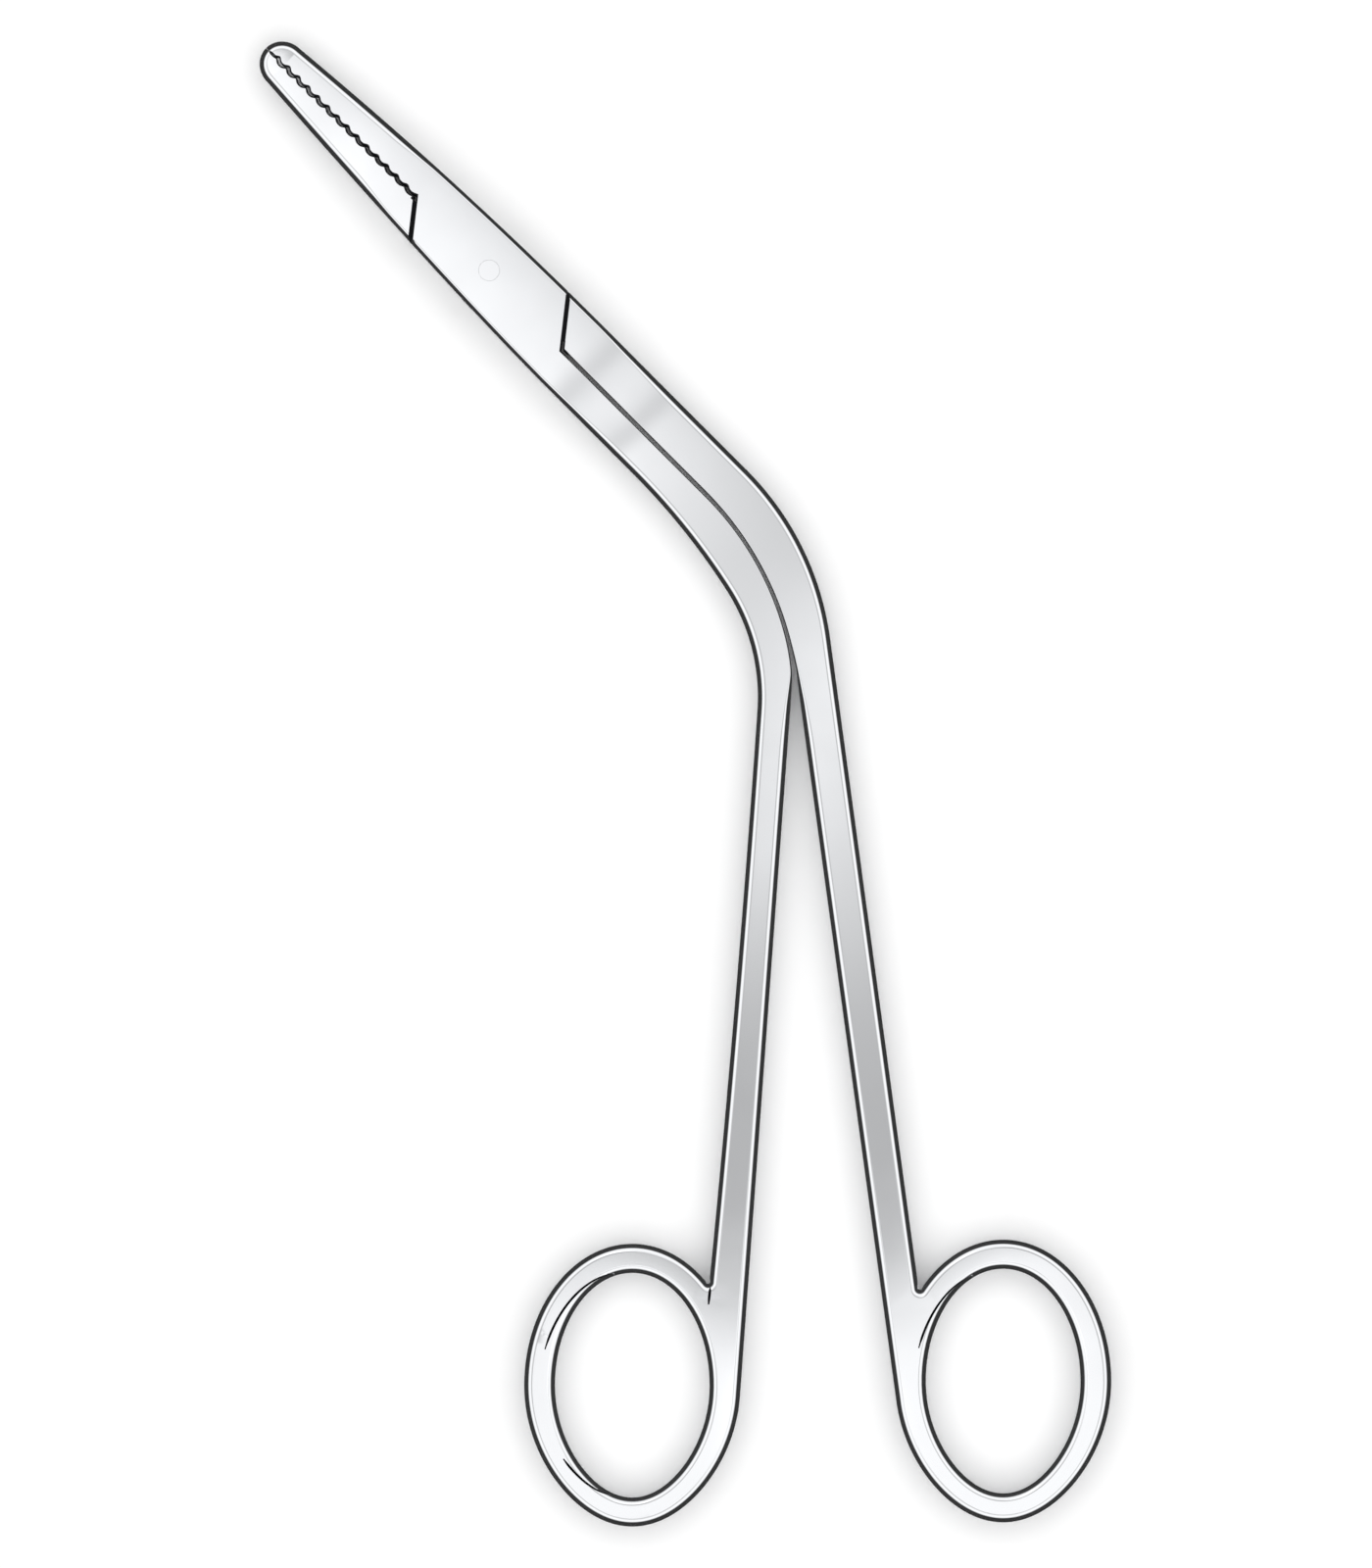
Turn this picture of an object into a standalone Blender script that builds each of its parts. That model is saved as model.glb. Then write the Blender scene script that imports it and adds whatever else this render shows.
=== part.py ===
"""Tonsil artery forceps, 190 mm long, lying flat with the jaws closed.

The pivot stands on the origin and the underside of the box joint is z = 0. The
finger rings lie toward -Y. Inside the joint, u runs from the jaw tips toward the
shanks, and v runs across them, toward the shank of the tongue half.
"""

import math

import bmesh
import bpy
import numpy as np

# Jaws: metres and degrees
JAW_HEADING = -45.0
JAW_LENGTH = 0.038
NOSE_LENGTH = 0.003
NOSE_HALF_WIDTH = 0.0028
TIP_THICKNESS = 0.0026
JAW_ROUNDING = 0.0010
JAW_BLEND_LENGTH = 0.007
BOX_JAW_FLARE = 2.0
TONGUE_JAW_FLARE = 1.5
TOOTH_PITCH = 0.00168
TOOTH_DEPTH = 0.00036
TOOTHLESS_TIP = 0.0012
JAW_GAP = 0.00025

# Box joint
BOX_THICKNESS = 0.0054
BOX_ROUNDING = 0.0006
SLOT_HEIGHT = 0.0020
TONGUE_CLEARANCE = 0.0001
SHOULDER_REACH = 0.0125
SHOULDER_ANGLE = 51.5
SHOULDER_GAP = 0.00025
TONGUE_ARM_OFFSET = 0.00035
ARM_GAP = 0.0002
WAIST_SET_IN = 0.0002
WAIST_GAP = 0.0001
STOP_GAP = 0.00005
OPENING_ANGLE = 40.0

# Pivot pin
PIN_DIAMETER = 0.0025
PIN_SEAT_CLEARANCE = 0.00002
PIN_RUNNING_CLEARANCE = 0.00005

# Shanks: offsets from the pivot's long axis, and each edge's bends
BOX_SHANK_OUTSIDE = 0.00503
TONGUE_SHANK_OUTSIDE = 0.00497
SHANK_DIVIDE = -0.00058
SHANK_GAP = 0.0003
SHANK_THICKNESS = 0.0038
SHANK_ROUNDING = 0.0010
FACING_ROUNDING = 0.0005
BOX_BLEND_LENGTH = 0.014
SHANKS_TOGETHER_LENGTH = 0.0435
BOX_OUTSIDE_BEND_START = 0.0293
BOX_OUTSIDE_BEND_RADIUS = 0.0846
BOX_OUTSIDE_BEND_TURN = 12.3
BOX_OUTSIDE_KINK_RADIUS = 0.0238
BOX_FACING_BEND_START = 0.0376
BOX_FACING_BEND_RADIUS = 0.0367
BOX_FACING_BEND_TURN = 36.6
BOX_FACING_KINK_RADIUS = 0.0064
TONGUE_OUTSIDE_BEND_START = 0.0389
TONGUE_OUTSIDE_BEND_RADIUS = 0.0351
TONGUE_FACING_BEND_START = 0.0371
TONGUE_FACING_BEND_RADIUS = 0.0389
BOX_SHANK_WAIST = 0.00025

# Finger rings
BOX_RING_CENTRE = (0.0172, -0.1340)
TONGUE_RING_CENTRE = (0.0618, -0.1335)
RING_HALF_WIDTH = 0.0130
RING_HALF_LENGTH = 0.0170
RING_SIDE_BAND = 0.0037
RING_END_BAND = 0.0035
RING_TAPER = 0.09
RING_THICKNESS = 0.0040
RING_ROUNDING = 0.0010
BOX_CROTCH_ANGLE = 44.7
TONGUE_CROTCH_ANGLE = 141.0
CROTCH_FILLET = 0.0004

# Facets
NOSE_FACETS = 5
SPINDLE_FACETS = 7
STRAIGHT_FACETS = 3
BEND_FACETS = 7
KINK_FACETS = 4
LOWER_SHANK_FACETS = 5
JUNCTION_FACETS = 4
FILLET_FACETS = 3
RING_FACETS = 40
ROUNDING_FACETS = 4
DISC_FACETS = 24
PIN_FACETS = 48

# Upright part of a rounded edge, height of the rounding over its width, the cutters' reach past
# the body, and the small step that keeps a shank's facing edge clear of the cut beside it
UPRIGHT_LAND = 0.0003
RISE_SHARE = 0.8
FAR = 0.010
SEAT_STEP = 0.00002

# Worked out from the sizes above
MID_HEIGHT = BOX_THICKNESS / 2
NOSE_ROOT = NOSE_LENGTH - JAW_LENGTH
SHOULDER_SLANT = 1 / math.tan(math.radians(SHOULDER_ANGLE))
SHOULDER_SHIFT = SHOULDER_GAP / 2 / math.sin(math.radians(SHOULDER_ANGLE))
JAW_ROOT = -SHOULDER_REACH - SHOULDER_GAP
BOX_END = SHOULDER_REACH - SHANK_DIVIDE * SHOULDER_SLANT + SHOULDER_GAP + SHANK_GAP


def direction(degrees):
    return np.array([math.cos(math.radians(degrees)), math.sin(math.radians(degrees))])


def left_of(vector):
    return np.array([-vector[1], vector[0]])


def unit(vector):
    return vector / np.linalg.norm(vector)


def joint_point(u, v):
    """World X and Y of a point given along and across the closed jaws."""
    along = direction(JAW_HEADING)
    return u * along + v * left_of(along)


def smooth(share):
    share = min(max(share, 0.0), 1.0)
    return share * share * (3 - 2 * share)


def station(point, thickness, inset):
    """One point of an outline, with half its thickness there and its edge rounding."""
    half = thickness / 2
    return [point[0], point[1], half, inset, min(inset * RISE_SHARE, half - UPRIGHT_LAND)]


def spindle_offset(u, outside, flare):
    """How far the closed jaws and box reach to one side, at a place between nose and shanks."""
    share = (BOX_END - u) / (BOX_END - NOSE_ROOT)
    return outside - (outside - NOSE_HALF_WIDTH) * share**flare


def spindle_side(side, outside, flare):
    """One side of the jaws and box taken as a whole, from the nose to the box's end."""
    places = []
    for step in range(NOSE_FACETS):
        angle = math.radians(90 * (step + 1) / (NOSE_FACETS + 1))
        places.append((NOSE_ROOT - NOSE_LENGTH * math.cos(angle), NOSE_HALF_WIDTH * math.sin(angle)))
    for u in [
        *np.linspace(NOSE_ROOT, JAW_ROOT, SPINDLE_FACETS),
        *np.linspace(JAW_ROOT, BOX_END, SPINDLE_FACETS // 2 + 1)[1:],
    ]:
        places.append((u, spindle_offset(u, outside, flare)))
    stations = []
    for u, v in places:
        back = smooth((u + JAW_LENGTH) / (JAW_ROOT + JAW_LENGTH))
        thickness = TIP_THICKNESS + (BOX_THICKNESS - TIP_THICKNESS) * back
        square = smooth((u - JAW_ROOT) / JAW_BLEND_LENGTH + 1)
        inset = JAW_ROUNDING + (BOX_ROUNDING - JAW_ROUNDING) * square
        stations.append(station(joint_point(u, side * v), thickness, inset))
    return stations


def ring_point(centre, degrees, band_x=0.0, band_y=0.0):
    """A point on a ring's oval, drawn in by the band, and narrower toward the far end."""
    x, y = direction(degrees)
    taper = 1 - RING_TAPER * min(y, 0.0) ** 2
    return np.array(centre) + [(RING_HALF_WIDTH - band_x) * taper * x, (RING_HALF_LENGTH - band_y) * y]


def ring_outward(centre, degrees):
    step = ring_point(centre, degrees + 0.5) - ring_point(centre, degrees - 0.5)
    return -left_of(unit(step))


def tangent_angle(centre, point, spin):
    """Where a line from the point touches the ring's outside, on the side away from the crotch."""
    x = (point[0] - centre[0]) / RING_HALF_WIDTH
    y = (point[1] - centre[1]) / RING_HALF_LENGTH
    return math.degrees(math.atan2(y, x) - spin * math.acos(1 / math.hypot(x, y)))


def heading_to(centre, radius, target):
    """The heading at which a clockwise bend points straight at the target."""
    reach = target - centre
    return math.degrees(math.atan2(reach[1], reach[0]) - math.asin(radius / np.linalg.norm(reach)))


def shank_edge(offset, start, bends, find_target, level=None, waist=0.0):
    """One edge of a shank, from the box's end round its bends and straight to the ring.

    A bend is a radius and a turn, and the last one turns as far as the target needs.
    An edge that runs on past the crotch has its own facets beyond that level.
    """
    heading = JAW_HEADING
    point = joint_point(start, offset)
    points = list(np.linspace(joint_point(BOX_END + SHANK_GAP, offset), point, STRAIGHT_FACETS + 1))
    for number, (radius, turn) in enumerate(bends):
        centre = point - radius * left_of(direction(heading))
        end = heading - turn if turn else heading_to(centre, radius, find_target(point))
        if not turn:
            for _ in range(4):
                end = heading_to(centre, radius, find_target(centre + radius * left_of(direction(end))))
        facets = (BEND_FACETS, KINK_FACETS)[number]
        for angle in np.linspace(heading, end, facets + 1)[1:]:
            points.append(centre + radius * left_of(direction(angle)))
        heading, point = end, points[-1]
    run = find_target(point) - point
    inward = waist * left_of(unit(run))
    level_share = 1.0
    if level is not None:
        beyond = (RING_ROUNDING + 2 * CROTCH_FILLET) / np.linalg.norm(run)
        level_share = np.dot(level - point, run) / np.dot(run, run) + beyond
    shares = list(np.linspace(0, level_share, LOWER_SHANK_FACETS + 1)[1:])
    if level is not None:
        shares += list(np.linspace(level_share, 1, JUNCTION_FACETS + 1)[1:])
    for share in shares:
        points.append(point + share * run + 4 * share * (1 - share) * inward)
    return points


def shank_stations(points, rounding, crisp_length):
    """Thickness and rounding along a shank's edge, from the box to the ring."""
    travelled = np.cumsum([0.0, *(np.linalg.norm(b - a) for a, b in zip(points, points[1:]))])
    stations = []
    for point, distance in zip(points, travelled):
        box_share = 1 - smooth(distance / BOX_BLEND_LENGTH)
        ring_share = smooth(2 * distance / travelled[-1] - 1)
        thickness = SHANK_THICKNESS + (BOX_THICKNESS - SHANK_THICKNESS) * box_share
        thickness += (RING_THICKNESS - SHANK_THICKNESS) * ring_share
        edge_share = smooth((distance - crisp_length) / BOX_BLEND_LENGTH)
        inset = rounding + (SHANK_ROUNDING - rounding) * edge_share
        inset += (RING_ROUNDING - SHANK_ROUNDING) * ring_share
        stations.append(station(point, thickness, inset))
    return stations


def outer_stations(points):
    return shank_stations(points, BOX_ROUNDING, 0.0)


def facing_stations(points):
    """The facing edges stay crisp for as long as the shanks lie side by side."""
    return shank_stations(points, FACING_ROUNDING, SHANKS_TOGETHER_LENGTH)


def crotch_fillet(centre, crotch_angle, spin, before, corner):
    """The rounded notch between a shank's outer edge and its ring.

    It gives the notch's points and the angle at which the ring goes on from them.
    """
    along = unit(corner - before)
    away = left_of(along)
    if np.dot(ring_point(centre, crotch_angle + spin * 30) - before, away) < 0:
        away = -away
    low, high = 0.0, 60.0
    for _ in range(40):
        middle = (low + high) / 2
        angle = crotch_angle + spin * middle
        hub = ring_point(centre, angle) + CROTCH_FILLET * ring_outward(centre, angle)
        if np.dot(hub - before, away) < CROTCH_FILLET:
            low = middle
        else:
            high = middle
    first = -away
    last = -ring_outward(centre, angle)
    sweep = math.atan2(first[0] * last[1] - first[1] * last[0], np.dot(first, last))
    points = []
    for share in np.linspace(0, 1, FILLET_FACETS + 1):
        turned = math.degrees(math.atan2(first[1], first[0]) + share * sweep)
        points.append(hub + CROTCH_FILLET * direction(turned))
    return points, angle


def inset_normals(outline, inward_is_left):
    """Each point's mitred direction into the material."""
    points = np.array(outline)[:, :2]
    ahead = np.roll(points, -1, axis=0) - points
    ahead /= np.linalg.norm(ahead, axis=1)[:, None]
    normals = np.stack([-ahead[:, 1], ahead[:, 0]], axis=1)
    both = normals + np.roll(normals, 1, axis=0)
    mitred = 2 * both / np.maximum((both**2).sum(axis=1), 1.0)[:, None]
    return mitred if inward_is_left else -mitred


def signed_area(outline):
    x, y = np.array(outline)[:, :2].T
    return np.dot(x, np.roll(y, -1)) - np.dot(y, np.roll(x, -1))


def rounded_rows(bm, outline, inward_is_left):
    """Rows of vertices over the rounded edge of an outline, above and below mid-height."""
    normals = inset_normals(outline, inward_is_left)
    rows = []
    for side in (-1, 1):
        for step in range(ROUNDING_FACETS + 1):
            turn = math.pi / 2 * step / ROUNDING_FACETS
            row = []
            for (x, y, half, inset, rise), normal in zip(outline, normals):
                in_by = inset * (1 - math.cos(turn))
                up = half - rise + rise * math.sin(turn)
                place = (x + normal[0] * in_by, y + normal[1] * in_by, MID_HEIGHT + side * up)
                row.append(bm.verts.new(place))
            rows.append(row)
    under, over = rows[: ROUNDING_FACETS + 1], rows[ROUNDING_FACETS + 1 :]
    ordered = under[::-1] + over
    for low, high in zip(ordered, ordered[1:]):
        for i in range(len(outline)):
            j = (i + 1) % len(outline)
            bm.faces.new((low[i], low[j], high[j], high[i])).smooth = True
    return ordered[0], ordered[-1]


def half_body(name, outer, facing, ring_centre, crotch_angle, spin):
    """Jaw, box, shank and finger ring in one piece, from its two edges and its ring."""
    notch, ring_start = crotch_fillet(
        ring_centre, crotch_angle, spin, np.array(outer[-2][:2]), np.array(outer[-1][:2])
    )
    tangent = tangent_angle(ring_centre, facing[-2][:2], spin)
    sweep = spin * ((tangent - ring_start) * spin % 360)
    around = ring_start + sweep * np.linspace(0, 1, RING_FACETS + 1)
    across = np.linspace(around[-1], ring_start + spin * 360, JUNCTION_FACETS + 1)[1:-1]

    def ring_station(point):
        return station(point, RING_THICKNESS, RING_ROUNDING)

    outer = outer[:-1] + [ring_station(notch[0])]
    rim = [ring_station(point) for point in notch[1:-1]]
    rim += [ring_station(ring_point(ring_centre, angle)) for angle in around[:-1]]
    outline = outer + rim + facing[::-1]
    hole = [
        ring_station(ring_point(ring_centre, angle, RING_SIDE_BAND, RING_END_BAND))
        for angle in (*around, *across)
    ]

    bm = bmesh.new()
    outline_rows = rounded_rows(bm, outline, signed_area(outline) > 0)
    hole_rows = rounded_rows(bm, hole, signed_area(hole) < 0)
    shank_count = len(outer)
    for edge, oval in zip(outline_rows, hole_rows):
        facing_edge = edge[::-1]
        for k in range(shank_count - 1):
            bm.faces.new((edge[k], edge[k + 1], facing_edge[k + 1], facing_edge[k]))
        first_rim = shank_count + FILLET_FACETS - 1
        bm.faces.new((*edge[shank_count - 1 : first_rim + 1], oval[0], facing_edge[shank_count - 1]))
        for k in range(JUNCTION_FACETS):
            low, high = shank_count - 1 + k, len(oval) - k
            bm.faces.new(
                (facing_edge[low], facing_edge[low + 1], oval[high - 1], oval[high % len(oval)])
            )
        for k in range(RING_FACETS):
            bm.faces.new((edge[first_rim + k], edge[first_rim + k + 1], oval[k + 1], oval[k]))
    return finished(name, bm)


def finished(name, bm):
    """A named object at the pivot from a closed bmesh."""
    bmesh.ops.recalc_face_normals(bm, faces=bm.faces)
    mesh = bpy.data.meshes.new(name)
    bm.to_mesh(mesh)
    bm.free()
    mesh.set_sharp_from_angle(angle=math.radians(35))
    obj = bpy.data.objects.new(name, mesh)
    bpy.context.scene.collection.objects.link(obj)
    return obj


def prism(name, outline, low, high):
    """An upright cutter over an outline given along and across the closed jaws."""
    bm = bmesh.new()
    floor = bm.faces.new([bm.verts.new((*joint_point(u, v), low)) for u, v in outline])
    raised = bmesh.ops.extrude_face_region(bm, geom=[floor])["geom"]
    lifted = [item for item in raised if isinstance(item, bmesh.types.BMVert)]
    bmesh.ops.translate(bm, verts=lifted, vec=(0, 0, high - low))
    return finished(name, bm)


def round_bar(name, radius, low, high):
    bm = bmesh.new()
    bmesh.ops.create_cone(
        bm, cap_ends=True, segments=PIN_FACETS, radius1=radius, radius2=radius, depth=high - low
    )
    bmesh.ops.translate(bm, verts=bm.verts, vec=(0, 0, (low + high) / 2))
    for face in bm.faces:
        face.smooth = len(face.verts) == 4
    return finished(name, bm)


def cut(body, cutter):
    modifier = body.modifiers.new(cutter.name, "BOOLEAN")
    modifier.operation = "DIFFERENCE"
    modifier.solver = "EXACT"
    modifier.object = cutter
    cutter.hide_render = True
    cutter.display_type = "WIRE"


def polished_steel(name, roughness):
    material = bpy.data.materials.new(name)
    material.use_nodes = True
    shader = material.node_tree.nodes["Principled BSDF"]
    shader.inputs["Base Color"].default_value = (0.60, 0.61, 0.62, 1)
    shader.inputs["Metallic"].default_value = 1.0
    shader.inputs["Roughness"].default_value = roughness
    return material


def disc_arc(radius, start, end):
    return [tuple(radius * direction(angle)) for angle in np.linspace(start, end, DISC_FACETS + 1)]


def opposite(points):
    """The same outline turned half round the pivot."""
    return [(-u, -v) for u, v in points]


def waist_radius():
    """The tongue's round waist, set in from the narrower side of the box."""
    upper = spindle_offset(0, TONGUE_SHANK_OUTSIDE, BOX_JAW_FLARE)
    lower = spindle_offset(0, BOX_SHANK_OUTSIDE, TONGUE_JAW_FLARE)
    return min(upper, lower) - WAIST_SET_IN


def slot_side(edge):
    """One side of the slot: beside the arm, round the waist, and the end that stops the other arm.

    The edge gives that arm's reach from the pivot's axis at a distance along it. The end
    lies beside it as it stands at full opening.
    """
    radius = waist_radius() + WAIST_GAP
    arm = TONGUE_ARM_OFFSET - ARM_GAP
    dip = math.degrees(math.asin(arm / radius))
    end_angle = 90 + OPENING_ANGLE + math.degrees(STOP_GAP / radius)
    outline = [(-SHOULDER_REACH - FAR, -arm), *disc_arc(radius, 180 + dip, end_angle)]
    along, across = direction(OPENING_ANGLE), direction(OPENING_ANGLE + 90)
    for start, reach in ((-STOP_GAP, edge(0)), (FAR, edge(FAR))):
        outline.append(tuple(start * along + (reach + STOP_GAP) * across))
    return [*outline, (SHOULDER_REACH + FAR, FAR)]


def front_shoulder(v, shift):
    return (-SHOULDER_REACH - v * SHOULDER_SLANT + shift, v)


def rear_shoulder(v, shift):
    return (SHOULDER_REACH - v * SHOULDER_SLANT + shift, v)


def tooth_line(gap, shift):
    """The toothed edge of one jaw, from beyond the tips to the front shoulder."""
    crest = gap + TOOTH_DEPTH / 2
    root = front_shoulder(crest, shift)
    half_pitch = TOOTH_PITCH / 2
    points = [root]
    for step in range(1, int((root[0] + JAW_LENGTH - TOOTHLESS_TIP) / half_pitch) + 1):
        points.append((root[0] - step * half_pitch, gap + TOOTH_DEPTH / 2 * (-1) ** step))
    points += [(points[-1][0] - half_pitch / 2, gap), (-JAW_LENGTH - FAR, gap)]
    return points[::-1]


def clear_scene():
    for obj in list(bpy.data.objects):
        bpy.data.objects.remove(obj)


def build_box_half():
    """The half whose jaw carries the box: two cheeks with the slot between them."""
    spin = 1
    facing_offset = SHANK_DIVIDE - SHANK_GAP / 2 - SEAT_STEP
    crotch = ring_point(BOX_RING_CENTRE, BOX_CROTCH_ANGLE)

    def touch(point):
        return ring_point(BOX_RING_CENTRE, tangent_angle(BOX_RING_CENTRE, point, spin))

    outside = shank_edge(
        -BOX_SHANK_OUTSIDE,
        BOX_OUTSIDE_BEND_START,
        [(BOX_OUTSIDE_BEND_RADIUS, BOX_OUTSIDE_BEND_TURN), (BOX_OUTSIDE_KINK_RADIUS, None)],
        lambda point: crotch,
        waist=BOX_SHANK_WAIST,
    )
    facing = shank_edge(
        facing_offset,
        BOX_FACING_BEND_START,
        [(BOX_FACING_BEND_RADIUS, BOX_FACING_BEND_TURN), (BOX_FACING_KINK_RADIUS, None)],
        touch,
        level=crotch,
    )
    body = half_body(
        "box_half",
        spindle_side(-1, BOX_SHANK_OUTSIDE, TONGUE_JAW_FLARE) + outer_stations(outside),
        spindle_side(1, TONGUE_SHANK_OUTSIDE, BOX_JAW_FLARE) + facing_stations(facing),
        BOX_RING_CENTRE,
        BOX_CROTCH_ANGLE,
        spin,
    )
    low, high = -FAR, BOX_THICKNESS + FAR
    jaw = tooth_line(JAW_GAP / 2, SHOULDER_SHIFT)
    jaw += [front_shoulder(-FAR, SHOULDER_SHIFT), (-JAW_LENGTH - FAR, -FAR)]
    cut(body, prism("other_jaw_space", jaw, low, high))
    beyond = BOX_END + FAR / 10
    divide = SHANK_DIVIDE - SHANK_GAP / 2
    shank = [rear_shoulder(FAR, -SHOULDER_SHIFT), rear_shoulder(divide, -SHOULDER_SHIFT)]
    shank += [(beyond, divide), (beyond, FAR)]
    cut(body, prism("other_shank_space", shank, low, high))
    slot = slot_side(lambda along: spindle_offset(along, TONGUE_SHANK_OUTSIDE, BOX_JAW_FLARE))
    slot += opposite(
        slot_side(lambda along: spindle_offset(-along, BOX_SHANK_OUTSIDE, TONGUE_JAW_FLARE))
    )
    cut(body, prism("tongue_slot", slot, MID_HEIGHT - SLOT_HEIGHT / 2, MID_HEIGHT + SLOT_HEIGHT / 2))
    cut(body, round_bar("pin_seat", PIN_DIAMETER / 2 + PIN_SEAT_CLEARANCE, low, high))
    body.data.materials.append(polished_steel("box_half_steel", 0.28))


def build_tongue_half():
    """The half whose tongue passes through the box."""
    spin = -1
    facing_offset = SHANK_DIVIDE + SHANK_GAP / 2 + SEAT_STEP
    crotch = ring_point(TONGUE_RING_CENTRE, TONGUE_CROTCH_ANGLE)

    def touch(point):
        return ring_point(TONGUE_RING_CENTRE, tangent_angle(TONGUE_RING_CENTRE, point, spin))

    outside = shank_edge(
        TONGUE_SHANK_OUTSIDE,
        TONGUE_OUTSIDE_BEND_START,
        [(TONGUE_OUTSIDE_BEND_RADIUS, None)],
        lambda point: crotch,
    )
    facing = shank_edge(
        facing_offset,
        TONGUE_FACING_BEND_START,
        [(TONGUE_FACING_BEND_RADIUS, None)],
        touch,
        level=crotch,
    )
    body = half_body(
        "tongue_half",
        spindle_side(1, TONGUE_SHANK_OUTSIDE, BOX_JAW_FLARE) + outer_stations(outside),
        spindle_side(-1, BOX_SHANK_OUTSIDE, TONGUE_JAW_FLARE) + facing_stations(facing),
        TONGUE_RING_CENTRE,
        TONGUE_CROTCH_ANGLE,
        spin,
    )
    low, high = -FAR, BOX_THICKNESS + FAR
    waist = waist_radius()
    dip = math.degrees(math.asin(TONGUE_ARM_OFFSET / waist))
    arc = disc_arc(waist, 180 + dip, 90)
    jaw = tooth_line(-JAW_GAP / 2, -SHOULDER_SHIFT)
    jaw += [(jaw[-1][0], -TONGUE_ARM_OFFSET), *arc, (0, FAR), (-JAW_LENGTH - FAR, FAR)]
    cut(body, prism("box_jaw_space", jaw, low, high))
    beyond = BOX_END + FAR / 10
    divide = SHANK_DIVIDE + SHANK_GAP / 2
    shank = opposite(arc)[::-1]
    shank += [rear_shoulder(TONGUE_ARM_OFFSET, SHOULDER_SHIFT), rear_shoulder(divide, SHOULDER_SHIFT)]
    shank += [(beyond, divide), (beyond, -FAR), (0, -FAR)]
    cut(body, prism("box_shank_space", shank, low, high))
    cheek = [front_shoulder(FAR, -SHOULDER_SHIFT), rear_shoulder(FAR, SHOULDER_SHIFT)]
    cheek += [rear_shoulder(-FAR, SHOULDER_SHIFT), front_shoulder(-FAR, -SHOULDER_SHIFT)]
    tongue = SLOT_HEIGHT / 2 - TONGUE_CLEARANCE
    cut(body, prism("upper_cheek_space", cheek, MID_HEIGHT + tongue, high))
    cut(body, prism("lower_cheek_space", cheek, low, MID_HEIGHT - tongue))
    cut(body, round_bar("pin_bore", PIN_DIAMETER / 2 + PIN_RUNNING_CLEARANCE, low, high))
    body.data.materials.append(polished_steel("tongue_half_steel", 0.28))


def build_pin():
    """The pivot pin, riveted in the box's cheeks and ground flush with them."""
    pin = round_bar("pivot_pin", PIN_DIAMETER / 2, 0, BOX_THICKNESS)
    pin.data.materials.append(polished_steel("pivot_pin_steel", 0.22))


clear_scene()
build_box_half()
build_tongue_half()
build_pin()
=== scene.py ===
import math

import bmesh
import bpy
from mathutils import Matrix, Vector


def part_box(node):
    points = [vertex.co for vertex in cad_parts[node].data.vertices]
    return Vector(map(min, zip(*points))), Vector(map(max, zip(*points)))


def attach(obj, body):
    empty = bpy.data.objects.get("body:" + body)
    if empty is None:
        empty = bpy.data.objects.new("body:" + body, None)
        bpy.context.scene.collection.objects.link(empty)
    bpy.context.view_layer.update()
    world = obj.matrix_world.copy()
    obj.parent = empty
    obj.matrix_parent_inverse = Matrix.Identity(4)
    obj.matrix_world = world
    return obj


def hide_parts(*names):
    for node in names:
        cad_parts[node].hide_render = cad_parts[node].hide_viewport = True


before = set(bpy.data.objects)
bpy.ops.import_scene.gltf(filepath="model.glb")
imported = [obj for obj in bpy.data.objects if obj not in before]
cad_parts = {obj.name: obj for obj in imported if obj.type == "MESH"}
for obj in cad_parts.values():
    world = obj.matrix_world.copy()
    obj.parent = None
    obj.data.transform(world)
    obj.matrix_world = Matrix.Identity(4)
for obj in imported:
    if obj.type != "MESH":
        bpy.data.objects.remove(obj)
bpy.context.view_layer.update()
mm = 0.001

# Lengths below are in millimetres and angles in degrees. u runs from the jaw tips to the
# shanks along the closed jaws, and v across them, toward the shank of the tongue half.
boxLow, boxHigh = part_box("box_half")
middle = (boxLow.z + boxHigh.z) / 2 / mm    # height that both halves are even about
boxThickness = (boxHigh.z - boxLow.z) / mm

jaws = {
    "heading": -45.0,
    "length": 38.0,
    "noseLength": 3.0,
    "noseHalfWidth": 2.8,
    "tipThickness": 2.6,
    "rounding": 1.0,
    "blend": 7.0,             # length over which the rounding gets crisp toward the box
    "upperFlare": 2.0,        # how each side widens toward the box
    "lowerFlare": 1.5,
    "gap": 0.25,
}

teeth = {
    "pitch": 1.68,
    "depthAtTip": 0.36,
    "depthAtRoot": 0.26,
    "plainTip": 1.2,
    "tipGap": 0.24,           # the tips all but touch: their share of the gap between the jaws
    "lean": 0.45,             # leans each wave, so one flank is steeper
    "pointsPerTooth": 12,
    "cornerPoints": 3,        # of the first tooth, which the shoulder's corner takes up
}

box = {
    "rounding": 0.6,
    "slotHeight": 2.0,
    "tongueClearance": 0.1,
    "shoulderReach": 12.5,
    "shoulderAngle": 51.5,
    "shoulderGap": 0.25,
    "armOffset": 0.35,
    "armGap": 0.2,
    "waistSetIn": 0.2,
    "waistGap": 0.1,
    "stopGap": 0.05,
    "opening": 40.0,
    "brokenEdge": (0.18, 0.14),   # width and depth of the chamfer along each joint line
}

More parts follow.
